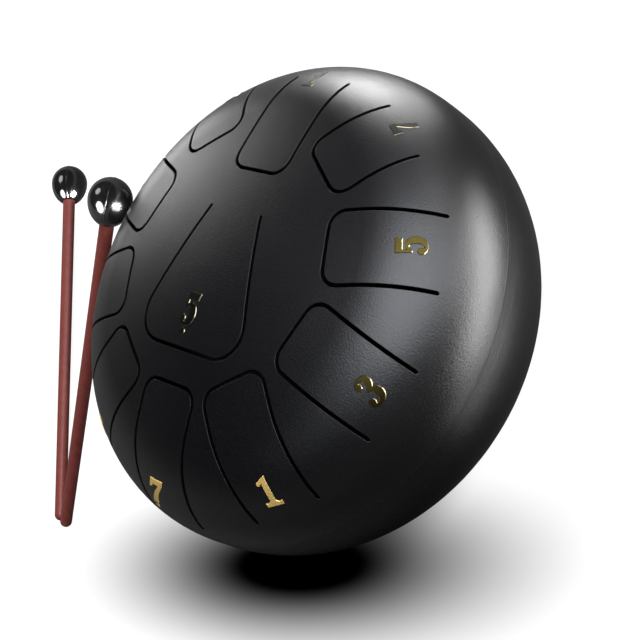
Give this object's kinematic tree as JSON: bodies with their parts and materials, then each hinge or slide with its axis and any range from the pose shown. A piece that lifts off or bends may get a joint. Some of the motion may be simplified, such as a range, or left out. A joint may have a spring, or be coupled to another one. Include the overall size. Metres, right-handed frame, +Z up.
{
  "type": "steel tongue drum",
  "caption": "Round steel tongue drum with a domed top cut into tuned tongues, a sound port below, rubber feet and mallets.",
  "frame": {"origin": "on the drum's axis, in the plane that its feet stand on", "axes": "+Z up along the drum's axis; -Y towards the player, where the middle tongue points"},
  "size_m": [0.4848, 0.297, 0.1564],
  "materials": {
    "painted_steel": "satin black paint with a fine grain",
    "numeral_gold": "gold foil",
    "foot_rubber": "matt",
    "zinc_steel": "zinc plated",
    "stick_wood": "red-brown lacquer",
    "head_rubber": "glossy"
  },
  "bodies": {
    "drum": {"top_shell": "painted_steel", "bottom_shell": "painted_steel", "seam_weld": "painted_steel", "rubber_foot_1": "foot_rubber", "rubber_foot_2": "foot_rubber", "rubber_foot_3": "foot_rubber", "rubber_foot_4": "foot_rubber", "foot_bushes": "zinc_steel", "foot_screws": "zinc_steel", "shell_washers": "zinc_steel", "foot_nuts": "zinc_steel"},
    "mallet_1": {"mallet_1_stick": "stick_wood", "mallet_1_head": "head_rubber"},
    "mallet_2": {"mallet_2_stick": "stick_wood", "mallet_2_head": "head_rubber"}
  },
  "joints": [
    {"name": "mallet_1_lift", "type": "slide", "parent": "drum", "child": "mallet_1", "axis": [0, 0, 1], "range_m": [0, 0.25]},
    {"name": "mallet_2_lift", "type": "slide", "parent": "drum", "child": "mallet_2", "axis": [0, 0, 1], "range_m": [0, 0.25]}
  ]
}
